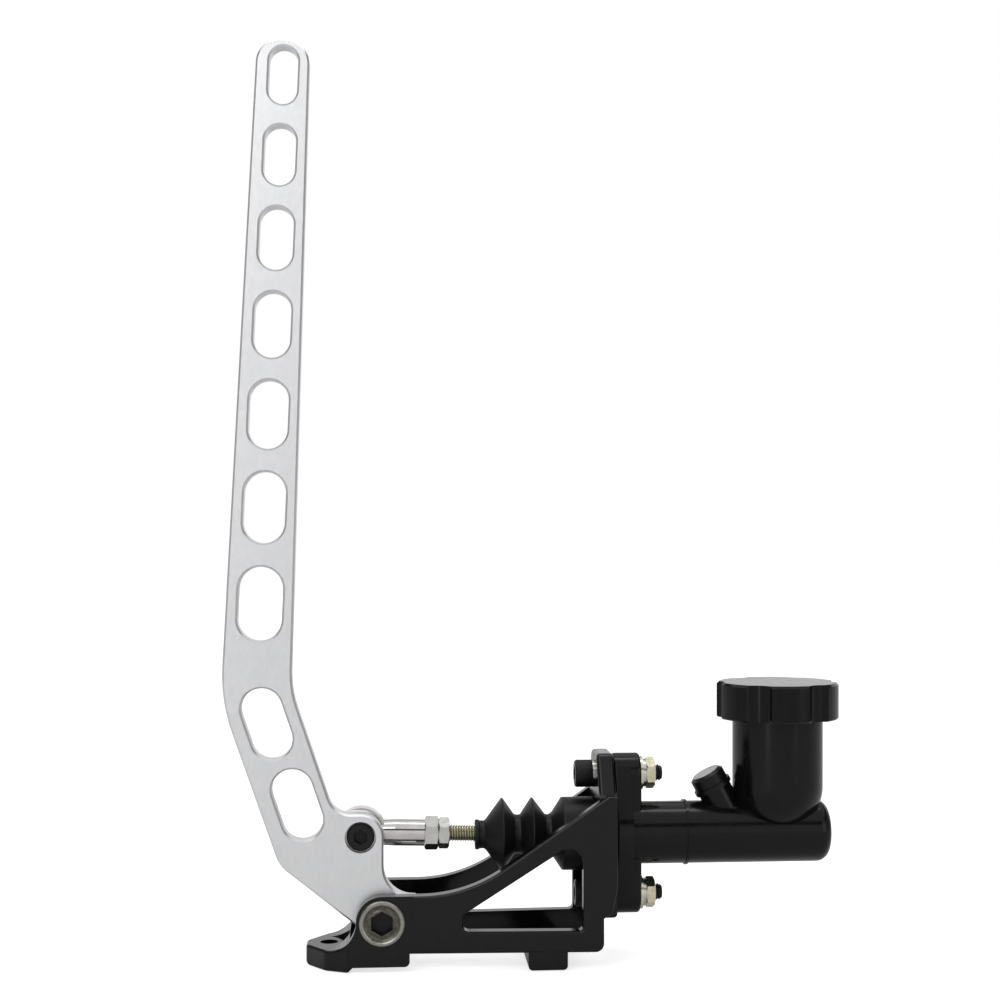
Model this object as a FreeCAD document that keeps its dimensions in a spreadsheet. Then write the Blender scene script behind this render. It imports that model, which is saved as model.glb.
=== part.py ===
import FreeCAD, Part

import math
import os
import re

import Sketcher
from FreeCAD import Placement, Rotation, Vector

# Hydraulic parking brake lever for a car: a tall slotted lever stands in a cast frame and
# pushes the piston of a master cylinder with its own reservoir.
# X runs from the lever to the cylinder, Y across the car and Z up.
# The origin is the centre of the front fixing hole, on the face that the frame stands on.

SIZES = {
    # frame, side view
    "nose_length": 10.6,
    "shoulder_back": 1.0,
    "tongue_thick": 9.0,
    "fixing_radius": 4.25,
    "spot_radius": 10.5,
    "pad_length": 9.5,
    "relief": 2.0,
    "block_length": 37.8,
    "rail_bottom": 8.0,
    "rail_height": 10.0,
    "pivot_along": 25.0,
    "pivot_height": 22.5,
    "boss_radius": 12.0,
    "arm_sweep": 68.0,
    "arm_foot": 63.6,
    "arm_top": 80.0,
    "post_front": 118.1,
    "post_back": 127.8,
    "post_shoulder": 23.4,
    "haunch_step": 2.4,
    "haunch_rise": 2.5,
    "haunch_height": 14.5,
    "arm_land": 4.7,
    "window_front": 62.2,
    "window_nose": 25.5,
    "window_top": 61.3,
    # frame, plan view
    "nose_half": 5.0,
    "shoulder_half": 18.5,
    "boss_half": 23.0,
    "arm_start": 39.5,
    "arm_step": 0.8,
    "plate_half": 27.6,
    "cheek": 6.5,
    "gap_front": 10.0,
    "edge_round": 1.0,
    "arm_round": 1.2,
    "boss_lead": 3.0,
    "full_round": 0.05,
    "overlap": 0.5,
    # rear plate and rear foot
    "plate_front": 126.0,
    "plate_back": 134.2,
    "ear_top": 98.0,
    "ear_half": 11.0,
    "ear_base_half": 22.5,
    "ear_drop": 1.0,
    "plate_round": 1.8,
    "rear_foot_front": 92.6,
    "rear_foot_length": 18.3,
    "rear_foot_half": 26.0,
    "rear_hole_half": 11.0,
    # lever
    "lever_thick": 9.5,
    "rod_half": 6.0,
    "lever_top": 409.3,
    "top_round": 11.4,
    "top_left": -57.7,
    "top_right": -33.3,
    "knee_left": -74.5,
    "knee_left_up": 102.3,
    "knee_left_round": 80.0,
    "knee_right": -42.1,
    "knee_right_up": 107.2,
    "knee_right_round": 50.0,
    "heel_left": -47.6,
    "heel_slope": 38.6,
    "heel_round": 16.0,
    "hub_radius": 12.5,
    "hub_shift": 4.5,
    "hub_flat": 0.1,
    "neck_up": 10.375,
    "neck_round": 14.0,
    "neck_corner": -22.2,
    "elbow_round": 11.0,
    "pin_back": 10.0,
    "pin_up": 38.2,
    "pin_boss": 10.7,
    "lever_edge": 0.9,
    "slots": 7,
    "slot_top": 405.6,
    "slot_centre": -45.7,
    "slot_lean": 0.0432,
    "slot_wide": 13.4,
    "slot_wide_step": 1.2,
    "slot_long": 26.8,
    "slot_long_step": 1.28,
    "slot_gap": 9.6,
    "slot_gap_step": 0.25,
    "low_slot_wide": 19.0,
    "low_slot_long": 33.8,
    "low_slot_lean": 19.0,
    "upper_low_slot_x": -53.3,
    "upper_low_slot_up": 91.4,
    "lower_low_slot_x": -39.2,
    "lower_low_slot_up": 53.7,
    # pivot
    "pivot_head_radius": 10.5,
    "pivot_head_thick": 2.5,
    "pivot_neck_radius": 8.0,
    "pivot_radius": 6.0,
    "bush_radius": 7.0,
    "thrust_radius": 9.5,
    "thrust_thick": 0.8,
    "spacer_radius": 9.0,
    "pivot_nut_flats": 18.0,
    "pivot_nut_thick": 8.0,
    "pivot_washer_radius": 12.0,
    "socket_flats": 10.0,
    "socket_depth": 5.0,
    "sink_depth": 1.2,
    "pivot_rim": 0.9,
    "spacer_gap": 0.2,
    "clear_cut": 0.1,
    # rod end and its bolt
    "bolt_radius": 4.0,
    "bolt_head_radius": 6.5,
    "bolt_socket_flats": 6.0,
    "pin_socket_depth": 3.0,
    "flange_socket_depth": 4.5,
    "pin_head_thick": 5.0,
    "counterbore_radius": 7.3,
    "counterbore_depth": 5.5,
    "washer_radius": 8.0,
    "washer_thick": 1.6,
    "washer_gap": 0.2,
    "nut_flats": 13.0,
    "nut_thick": 6.5,
    "ball_radius": 8.0,
    "eye_radius": 12.0,
    "eye_width": 9.0,
    "neck_half": 4.0,
    "neck_flare": 1.4,
    "rod_mouth": 6.0,
    "shank_radius": 6.25,
    "shank_end": 30.0,
    "rod_hex_flats": 14.0,
    "rod_hex_end": 36.6,
    "jam_nut_thick": 5.2,
    # push rod, cylinder and piston
    "axis_height": 58.8,
    "nose_drop": 0.65,
    "nose_along": 122.0,
    "rod_collar_radius": 5.4,
    "rod_collar": 1.4,
    "rod_nose": 2.4,
    "nose_tip": 2.0,
    "nose_gap": 0.3,
    "recess_depth": 5.0,
    "recess_radius": 6.7,
    "bore_radius": 9.525,
    "running_gap": 0.05,
    "snout_front": 113.0,
    "snout_radius": 14.8,
    "snout_gap": 0.4,
    "flange_thin": 8.4,
    "flange_thick": 13.7,
    "flange_side": 22.0,
    "flange_end": 9.7,
    "bolt_half": 28.575,
    "flange_hole": 4.25,
    "barrel_radius": 14.85,
    "end_wall": 10.5,
    "barrel_round": 6.0,
    "delivery_room": 10.0,
    "bead_along": 169.2,
    "bead_radius": 15.6,
    "bead_width": 1.2,
    "reservoir_along": 215.3,
    "reservoir_radius": 21.65,
    "reservoir_bottom": 80.5,
    "reservoir_top": 113.0,
    "neck_radius": 21.1,
    "neck_top": 125.7,
    "reservoir_wall": 2.9,
    "reservoir_floor": 76.0,
    "feed_radius": 1.5,
    "feed_offset": 7.7,
    "port_along": 195.8,
    "port_lean": 29.0,
    "port_radius": 8.2,
    "port_reach": 24.0,
    "port_bore": 5.0,
    "port_bore_depth": 10.0,
    "port_hole": 2.0,
    "plug_taper": 0.6,
    "plug_land": 1.5,
    "plug_bevel": 1.2,
    "plug_head": 8.4,
    "plug_collar": 9.3,
    "plug_collar_thick": 2.2,
    "plug_face": 6.9,
    "plug_thick": 8.4,
    # cap
    "cap_radius": 29.2,
    "cap_top": 130.7,
    "cap_bottom": 113.3,
    "cap_roof": 3.0,
    "cap_gap": 0.4,
    "cap_edge": 0.6,
    "scallop_radius": 8.5,
    "scallop_centre": 34.4,
    "scallops": 6,
    "diaphragm_thick": 1.5,
    "diaphragm_sag": 6.0,
    "diaphragm_slope": 4.0,
    "soft_gap": 0.3,
    # boot
    "boot_wall": 1.5,
    "boot_radius": 17.3,
    "boot_valley": 9.2,
    "boot_neck_radius": 6.8,
    "boot_neck_hole": 5.2,
    "boot_front": 69.0,
    "boot_neck_end": 74.0,
    "boot_pitch": 14.4,
    "boot_first_peak": 82.0,
    "boot_step": 110.4,
    "boot_fit": 0.1,
    # flange bolts
    "thin_washer": 1.2,
    "head_washer": 1.0,
    "flange_head_thick": 9.3,
    "spring_washer": 1.5,
    "flange_nut_thick": 4.5,
    "thread_stand": 3.6,
    # inside the cylinder
    "ring_thick": 1.2,
    "ring_depth": 0.9,
    "ring_start": 1.4,
    "ring_play": 0.05,
    "ring_width": 1.9,
    "seat_play": 0.1,
    "bore_cone": 3.0,
    "retainer_thick": 1.4,
    "retainer_hole": 5.2,
    "land_gap": 0.1,
    "piston_length": 33.0,
    "piston_lip": 1.5,
    "rear_land": 7.0,
    "front_land": 8.5,
    "lip_thick": 0.7,
    "seal_width": 3.5,
    "seal_floor": 6.9,
    "piston_waist": 6.0,
    "spigot_radius": 4.0,
    "spigot_length": 3.0,
    "stem_hole": 2.3,
    "stem_radius": 1.5,
    "valve_radius": 6.3,
    "valve_thick": 2.0,
    "cup_sheet": 1.0,
    "cup_height": 8.0,
    "spring_wire": 0.8,
    "spring_radius": 7.4,
    "spring_turns": 7,
    "seat_along": 213.0,
    "seat_thick": 6.0,
    "seat_radius": 9.3,
}

doc = FreeCAD.newDocument("parking_brake_lever")
sheet = doc.addObject("Spreadsheet::Sheet", "sizes")
for row, (alias, value) in enumerate(SIZES.items(), 1):
    sheet.set("A%d" % row, alias)
    sheet.set("B%d" % row, str(value))
    sheet.setAlias("B%d" % row, alias)
doc.recompute()

parts = {}


def bound(text):
    """Give each size in a formula its place in the sheet."""
    def in_sheet(word):
        return "sizes." + word.group() if word.group() in SIZES else word.group()
    return re.sub(r"[a-z]\w*", in_sheet, text)


def number(text):
    return float(sheet.evalExpression(bound(text)))


def spot(x, y, z):
    return Vector(number(x), number(y), number(z))


def keep(name, feature):
    """Name a finished piece."""
    feature.Label = name
    parts[name] = feature
    return feature


def place(feature, at, turn=None):
    """Put a piece at three formulas, turned as given."""
    feature.Placement = Placement(spot(*at), turn or Rotation())
    for axis, text in zip("xyz", at):
        feature.setExpression("Placement.Base." + axis, bound(text))
    return feature


def towards(x, y, z):
    return Rotation(Vector(0, 0, 1), Vector(x, y, z))


ALONG = towards(1, 0, 0)
ACROSS = towards(0, 1, 0)
UPRIGHT = Rotation()
rod_lean = math.degrees(math.atan2(number("pivot_height + pin_up - axis_height + nose_drop"),
                                   number("nose_along - pivot_along + pin_back")))
ROD = Rotation(Vector(0, 1, 0), rod_lean).multiply(ALONG)
PORT = Rotation(Vector(0, 1, 0), -number("port_lean"))

PIVOT = ("pivot_along", "0", "pivot_height")
PIN = ("pivot_along - pin_back", "0", "pivot_height + pin_up")


def new_body(name):
    return doc.addObject("PartDesign::Body", name)


def outline(body, plane, corners, raised="0"):
    """Draw a closed outline of straight sides on one of the body's planes."""
    sketch = body.newObject("Sketcher::SketchObject", body.Name + "_outline")
    support = [feature for feature in body.Origin.OriginFeatures if feature.Role == plane]
    sketch.AttachmentSupport = [(support[0], "")]
    sketch.MapMode = "FlatFace"
    sketch.setExpression("AttachmentOffset.Base.z", bound(raised))
    points = [Vector(number(across), number(up), 0) for across, up in corners]
    count = len(points)
    for i in range(count):
        sketch.addGeometry(Part.LineSegment(points[i], points[(i + 1) % count]), False)
    for i, (across, up) in enumerate(corners):
        sketch.addConstraint(Sketcher.Constraint("Coincident", i, 2, (i + 1) % count, 1))
        for kind, size, text in (("DistanceX", points[i].x, across), ("DistanceY", points[i].y, up)):
            index = sketch.addConstraint(Sketcher.Constraint(kind, -1, 1, i, 1, size))
            sketch.setExpression("Constraints[%d]" % index, bound(text))
    return sketch


def slab(name, plane, corners, depth, raised="0", symmetric=True):
    """A body whose outline is padded to a depth."""
    body = new_body(name)
    sketch = outline(body, plane, corners, raised)
    pad = body.newObject("PartDesign::Pad", name + "_pad")
    pad.Profile = sketch
    pad.SideType = "Symmetric" if symmetric else "One side"
    pad.setExpression("Length", bound(depth))
    doc.recompute()
    return body


def corner_edges(shape, corners, direction):
    """Name the edges that run in a direction through given places."""
    names = []
    for index, edge in enumerate(shape.Edges, 1):
        if len(edge.Vertexes) != 2:
            continue
        start, end = [vertex.Point for vertex in edge.Vertexes]
        run = (end - start).normalize()
        if abs(abs(run.dot(direction)) - 1) > 1e-6:
            continue
        for corner in corners:
            offset = corner - start
            if (offset - run * offset.dot(run)).Length < 0.01:
                names.append("Edge%d" % index)
    return names


def round_corners(body, corners, direction, radius):
    """Round the upright edges of a body at the given places."""
    before = body.Tip
    names = corner_edges(before.Shape, corners, direction)
    fillet = body.newObject("PartDesign::Fillet", body.Name + "_round")
    fillet.Base = (before, names)
    fillet.setExpression("Radius", bound(radius))
    body.Tip = fillet
    doc.recompute()
    return fillet


def turned(name, profile, at=("0", "0", "0"), turn=UPRIGHT):
    """A body turned round its own Z from a profile of (radius, height) pairs."""
    body = new_body(name)
    sketch = outline(body, "XZ_Plane", profile)
    spin = body.newObject("PartDesign::Revolution", name + "_spin")
    spin.Profile = sketch
    spin.ReferenceAxis = (sketch, ["V_Axis"])
    spin.Angle = 360
    place(body, at, turn)
    doc.recompute()
    return body


def ring(name, inner, outer, thick, at, turn):
    return turned(name, [(inner, "0"), (outer, "0"), (outer, thick), (inner, thick)], at, turn)


def drum(name, radius, height, at, turn=UPRIGHT):
    """A plain cylinder, also used as a drill."""
    feature = doc.addObject("Part::Cylinder", name)
    feature.setExpression("Radius", bound(radius))
    feature.setExpression("Height", bound(height))
    return place(feature, at, turn)


def prism(name, flats, height, at, turn):
    """A hexagonal bar, measured across its flats."""
    feature = doc.addObject("Part::Prism", name)
    feature.Polygon = 6
    feature.setExpression("Circumradius", bound("(%s) / 2 / cos(30)" % flats))
    feature.setExpression("Height", bound(height))
    return place(feature, at, turn)


def block(name, length, width, height, at):
    feature = doc.addObject("Part::Box", name)
    for side, text in (("Length", length), ("Width", width), ("Height", height)):
        feature.setExpression(side, bound(text))
    return place(feature, at)


def joined(name, pieces):
    feature = doc.addObject("Part::MultiFuse", name)
    feature.Shapes = pieces
    feature.Refine = True
    return feature


def cut(name, base, tool):
    feature = doc.addObject("Part::Cut", name)
    feature.Base = base
    feature.Tool = tool
    return feature


def common(name, base, tool):
    feature = doc.addObject("Part::Common", name)
    feature.Base = base
    feature.Tool = tool
    return feature


def group(name, pieces):
    feature = doc.addObject("Part::Compound", name)
    feature.Links = pieces
    return feature


def softened(name, base, names, radius):
    """Round edges of a finished shape."""
    feature = doc.addObject("Part::Fillet", name)
    feature.Base = base
    feature.Edges = [(index, number(radius), number(radius)) for index in names]
    doc.recompute()
    return feature


def nut(name, flats, height, bore, at, turn):
    """A hexagonal nut with its corners turned off at both faces."""
    corner = "(%s) / 2 / cos(30)" % flats
    flat = "(%s) / 2 * 0.97" % flats
    slope = "(%s - %s) * tan(30)" % (corner, flat)
    blank = turned(name + "_blank", [
        (bore, "0"), (flat, "0"), (corner, slope), (corner, "%s - %s" % (height, slope)), (flat, height),
        (bore, height)], at, turn)
    return common(name, blank, prism(name + "_hex", flats, height, at, turn))


def cap_screw(name, head_radius, head_height, length, flats, depth, at, turn):
    """A cap screw: its head below the given place, its shank above, with a hexagonal socket."""
    rim = "0.6"
    blank = turned(name + "_blank", [
        ("0", "-(%s)" % head_height), ("%s - %s" % (head_radius, rim), "-(%s)" % head_height),
        (head_radius, "%s - (%s)" % (rim, head_height)), (head_radius, "0"), ("bolt_radius", "0"),
        ("bolt_radius", "%s - %s" % (length, rim)), ("bolt_radius - %s" % rim, length),
        ("0", length)], at, turn)
    socket = prism(name + "_socket", flats, depth, at, turn)
    base = turn.multVec(Vector(0, 0, -number(head_height)))
    socket.Placement = Placement(spot(*at) + base, turn)
    for axis, text, shift in zip("xyz", at, turn.multVec(Vector(0, 0, 1))):
        socket.setExpression("Placement.Base." + axis, bound("%s - (%s) * %.6f" % (text, head_height, shift)))
    return cut(name, blank, socket)


def outer_edges(shape):
    """Number the edges round the outer faces of the cheeks, without those of the tongue and the underside."""
    chosen = []
    for face in shape.Faces:
        box = face.BoundBox
        wide = box.XLength > number("window_front") and box.ZLength > number("arm_top") / 2
        if not wide or min(abs(box.YMin), abs(box.YMax)) < number("boss_half - cheek + 5"):
            continue
        for edge in face.Edges:
            box = edge.BoundBox
            front = number("pivot_along - boss_radius + 0.5")
            low = box.ZMax < number("pivot_height") and box.XMax < number("block_length + 0.1")
            if box.XMax > front and not low:
                chosen.extend(i for i, other in enumerate(shape.Edges, 1) if other.isSame(edge))
    return sorted(set(chosen))


def make_frame():
    """The cast frame: two cheeks splayed from the pivot to the rear plate, and two feet."""
    boss_front = "pivot_along - boss_radius"
    boss_top = "pivot_height + boss_radius"
    haunch = "post_shoulder + haunch_height"
    side = slab("frame_side", "XZ_Plane", [
        ("-nose_length", "0"), ("pad_length", "0"), ("pad_length + relief", "relief"),
        ("block_length", "relief"), ("block_length", "rail_bottom"),
        ("post_back", "rail_bottom"), ("post_back", "post_shoulder"),
        ("plate_back - haunch_step", "post_shoulder + haunch_rise"), ("plate_back", haunch),
        ("plate_back", "arm_top"), ("plate_back - arm_land", "arm_top"), ("arm_foot", boss_top),
        (boss_front, boss_top), (boss_front, "tongue_thick"), ("-nose_length", "tongue_thick")],
        "4 * plate_half")
    across = Vector(0, 1, 0)
    for corner, radius in (
            ((boss_front, boss_top), "boss_radius - full_round"),
            ((boss_front, "tongue_thick"), "pivot_height - tongue_thick - full_round"),
            (("arm_foot", boss_top), "arm_sweep"),
            (("post_back", "rail_bottom"), "edge_round * 4"),
            (("block_length", "relief"), "edge_round * 2.5"),
            (("-nose_length", "0"), "edge_round * 2"),
            (("plate_back", haunch), "edge_round * 12")):
        round_corners(side, [spot(corner[0], "0", corner[1])], across, radius)
    half_view = [("-nose_length", "nose_half"), ("-shoulder_back", "shoulder_half"),
                 (boss_front + " - boss_lead", "boss_half + arm_step"),
                 ("arm_start", "boss_half + arm_step"), ("plate_back", "plate_half")]
    plan = slab("frame_plan", "XY_Plane",
                half_view + [(x, "-(%s)" % y) for x, y in reversed(half_view)], "4 * ear_top")
    for number_of, radius in ((0, "edge_round * 4"), (1, "edge_round * 8"), (2, "edge_round * 5")):
        x, y = half_view[number_of]
        round_corners(plan, [spot(x, y, "0"), spot(x, "-(%s)" % y, "0")], Vector(0, 0, 1), radius)
    envelope = common("frame_envelope", side, plan)
    gap_half = [("gap_front", "boss_half - cheek"), ("arm_start", "boss_half - cheek"),
                ("plate_front", "plate_half - cheek")]
    gap = slab("frame_gap", "XY_Plane",
               gap_half + [(x, "-(%s)" % y) for x, y in reversed(gap_half)], "4 * ear_top")
    window = slab("frame_window", "XZ_Plane", [
        ("window_front", "rail_bottom + rail_height"), ("post_front", "rail_bottom + rail_height"),
        ("post_front", "window_top"), ("window_front", "window_nose")], "4 * plate_half")
    for corner, radius in (
            (("window_front", "rail_bottom + rail_height"), "edge_round * 3"),
            (("window_front", "window_nose"), "edge_round * 2.5"),
            (("post_front", "window_top"), "edge_round * 7"),
            (("post_front", "rail_bottom + rail_height"), "edge_round * 2")):
        round_corners(window, [spot(corner[0], "0", corner[1])], across, radius)
    spot_face = drum("frame_spot_face", "spot_radius", "pivot_height", ("0", "0", "tongue_thick"))
    cheeks = cut("frame_open", cut("frame_split", envelope, gap), joined("frame_voids", [window, spot_face]))
    doc.recompute()
    edges = outer_edges(cheeks.Shape)
    rounded = softened("frame_soft", cheeks, edges, "arm_round")
    faces = []
    for side_name, start in (("near", "-(boss_half + 4)"), ("far", "boss_half")):
        faces.append(block("frame_machined_" + side_name, "arm_start - tongue_thick", "4", "2 * pivot_height",
                           ("tongue_thick", start, "-1")))
    machined = cut("frame_machined", rounded, joined("frame_machining", faces))
    inside = "plate_half - cheek / 2"
    half_plate = [(inside, "post_shoulder"), (inside, "arm_top - ear_drop"), ("ear_base_half", "arm_top"),
                  ("ear_half", "ear_top")]
    plate = slab("frame_plate", "YZ_Plane",
                 half_plate + [("-(%s)" % y, z) for y, z in reversed(half_plate)],
                 "plate_back - plate_front", "plate_front", symmetric=False)
    round_corners(plate, [spot("0", "ear_half", "ear_top"), spot("0", "-ear_half", "ear_top")],
                  Vector(1, 0, 0), "edge_round * 4")
    round_corners(plate, [spot("plate_front", "0", "ear_top"), spot("plate_back", "0", "ear_top"),
                          spot("plate_back", "0", "post_shoulder")], across, "plate_round")
    foot_back = "rear_foot_front + rear_foot_length"
    foot_top = "rail_bottom + overlap"
    foot = slab("frame_foot", "XZ_Plane", [
        ("rear_foot_front", "0"), (foot_back, "0"), (foot_back, foot_top), ("rear_foot_front", foot_top)],
        "2 * rear_foot_half")
    round_corners(foot, [spot("rear_foot_front", "0", "0"), spot(foot_back, "0", "0")],
                  across, "edge_round * 2")
    whole = joined("frame_whole", [machined, plate, foot])
    drills = [
        drum("frame_front_hole", "fixing_radius", "2 * tongue_thick", ("0", "0", "-tongue_thick / 2")),
        drum("frame_neck_bore", "pivot_neck_radius + running_gap", "plate_half",
             ("pivot_along", "-plate_half", "pivot_height"), ACROSS),
        drum("frame_shaft_bore", "pivot_radius + running_gap", "plate_half", PIVOT, ACROSS),
        drum("frame_snout_bore", "snout_radius + snout_gap", "plate_back - plate_front + 2",
             ("plate_front - 1", "0", "axis_height"), ALONG)]
    for side_name, sign in (("near", "-"), ("far", "")):
        drills.append(drum("frame_foot_hole_" + side_name, "fixing_radius", "2 * rail_bottom", (
            "rear_foot_front + rear_foot_length / 2", sign + "rear_hole_half", "-rail_bottom / 2")))
    for end_name, sign in (("lower", "-"), ("upper", "+")):
        drills.append(drum("frame_bolt_hole_" + end_name, "flange_hole", "plate_back - plate_front + 2",
                           ("plate_front - 1", "0", "axis_height %s bolt_half" % sign), ALONG))
    keep("frame", cut("frame", whole, joined("frame_drills", drills)))


def slot_outline(sketch, x, up, wide, long, lean):
    """Add one round-ended slot to a sketch: two half circles joined by two lines."""
    first = sketch.GeometryCount
    reach = (number(long) - number(wide)) / 2
    radius = number(wide) / 2
    turn = math.radians(number(lean))
    middle = Vector(number(x), number(up), 0)
    along = Vector(-math.sin(turn), math.cos(turn), 0)
    side = Vector(math.cos(turn), math.sin(turn), 0)
    top = middle + along * reach
    bottom = middle - along * reach
    up_circle = Part.Circle(top, Vector(0, 0, 1), radius)
    low_circle = Part.Circle(bottom, Vector(0, 0, 1), radius)
    sketch.addGeometry(Part.ArcOfCircle(up_circle, turn, turn + math.pi), False)
    sketch.addGeometry(Part.LineSegment(top - side * radius, bottom - side * radius), False)
    sketch.addGeometry(Part.ArcOfCircle(low_circle, turn + math.pi, turn + 2 * math.pi), False)
    sketch.addGeometry(Part.LineSegment(bottom + side * radius, top + side * radius), False)
    for start, start_end, end, end_end in ((0, 2, 1, 1), (1, 2, 2, 1), (2, 2, 3, 1), (3, 2, 0, 1)):
        sketch.addConstraint(Sketcher.Constraint("Tangent", first + start, start_end, first + end, end_end))
    sketch.addConstraint(Sketcher.Constraint("Equal", first, first + 2))
    half = "(%s - %s) / 2" % (long, wide)
    shift = "%s * sin(%s)" % (half, lean)
    lift = "%s * cos(%s)" % (half, lean)
    for arc, sign, other in ((first, "-", "+"), (first + 2, "+", "-")):
        aside = "%s %s %s" % (x, sign, shift)
        above = "%s %s %s" % (up, other, lift)
        for kind, text in (("DistanceX", aside), ("DistanceY", above)):
            index = sketch.addConstraint(Sketcher.Constraint(kind, -1, 1, arc, 3, number(text)))
            sketch.setExpression("Constraints[%d]" % index, bound(text))
    index = sketch.addConstraint(Sketcher.Constraint("Radius", first, radius))
    sketch.setExpression("Constraints[%d]" % index, bound("%s / 2" % wide))


def make_lever():
    """The lever: a plate with nine slots, a rounded hub and a boss for the push rod's bolt."""
    pin_right = "-pin_back + pin_boss"
    pin_top = "pin_up + pin_boss"
    hub_start = "hub_shift - hub_radius * tan(heel_slope / 2)"
    heel_up = "(%s - heel_left) * tan(heel_slope) - hub_radius" % hub_start
    hub_right = "hub_shift + hub_radius"
    hub_round = "hub_radius - hub_flat"
    body = slab("lever", "XZ_Plane", [
        ("top_left", "lever_top"), ("knee_left", "knee_left_up"), ("heel_left", heel_up),
        (hub_start, "-hub_radius"), (hub_right, "-hub_radius"), (hub_right, "neck_up"),
        (pin_right, "neck_up"), (pin_right, pin_top), ("neck_corner", pin_top),
        ("knee_right", "knee_right_up"), ("top_right", "lever_top")], "lever_thick")
    across = Vector(0, 1, 0)
    rounds = (
        ("top_left", "lever_top", "top_round"), ("top_right", "lever_top", "top_round"),
        ("knee_left", "knee_left_up", "knee_left_round"), ("knee_right", "knee_right_up", "knee_right_round"),
        ("heel_left", heel_up, "heel_round"), ("neck_corner", pin_top, "elbow_round"),
        (pin_right, pin_top, "pin_boss"), (pin_right, "neck_up", "neck_round"),
        (hub_right, "-hub_radius", hub_round), (hub_start, "-hub_radius", hub_round),
        (hub_right, "neck_up", "hub_radius / 6"))
    for x, up, radius in rounds:
        round_corners(body, [spot(x, "0", up)], across, radius)
    sketch = body.newObject("Sketcher::SketchObject", "lever_slots")
    support = [feature for feature in body.Origin.OriginFeatures if feature.Role == "XZ_Plane"]
    sketch.AttachmentSupport = [(support[0], "")]
    sketch.MapMode = "FlatFace"
    top = "slot_top"
    for i in range(int(number("slots"))):
        wide = "(slot_wide + %d * slot_wide_step)" % i
        long = "(slot_long + %d * slot_long_step)" % i
        up = "(%s - %s / 2)" % (top, long)
        lean_x = "(slot_centre - (slot_top - slot_long / 2 - %s) * slot_lean)" % up
        slot_outline(sketch, lean_x, up, wide, long, "-atan(slot_lean)")
        top = "(slot_top - %d * slot_long - %.1f * slot_long_step - %d * slot_gap - %.1f * slot_gap_step)" % (
            i + 1, i * (i + 1) / 2, i + 1, i * (i + 1) / 2)
    for low_slot in ("upper_low_slot", "lower_low_slot"):
        slot_outline(sketch, low_slot + "_x", low_slot + "_up",
                     "low_slot_wide", "low_slot_long", "low_slot_lean")
    pocket = body.newObject("PartDesign::Pocket", "lever_slot_cut")
    pocket.Profile = sketch
    pocket.Type = "ThroughAll"
    pocket.Midplane = True
    doc.recompute()
    chamfer = body.newObject("PartDesign::Chamfer", "lever_edges")
    half = number("lever_thick") / 2
    names = []
    for index, edge in enumerate(pocket.Shape.Edges, 1):
        box = edge.BoundBox
        if box.YLength < 0.01 and abs(abs(box.YMin) - half) < 0.01:
            names.append("Edge%d" % index)
    chamfer.Base = (pocket, names)
    chamfer.setExpression("Size", "sizes.lever_edge")
    body.Tip = chamfer
    doc.recompute()
    middle = "-(rod_half + lever_thick / 2)"
    place(body, ("pivot_along", middle, "pivot_height"))
    face = "-(rod_half + lever_thick)"
    pivot_bore = drum("lever_pivot_bore", "bush_radius", "2 * lever_thick",
                      ("pivot_along", face + " - 1", "pivot_height"), ACROSS)
    pin_bore = drum("lever_pin_bore", "bolt_radius + 0.1", "2 * lever_thick",
                    ("pivot_along - pin_back", face + " - 1", "pivot_height + pin_up"), ACROSS)
    counterbore = drum("lever_counterbore", "counterbore_radius", "counterbore_depth + 1",
                       ("pivot_along - pin_back", face + " - 1", "pivot_height + pin_up"), ACROSS)
    keep("lever", cut("lever_plate", body, joined("lever_bores", [pivot_bore, pin_bore, counterbore])))


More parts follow.
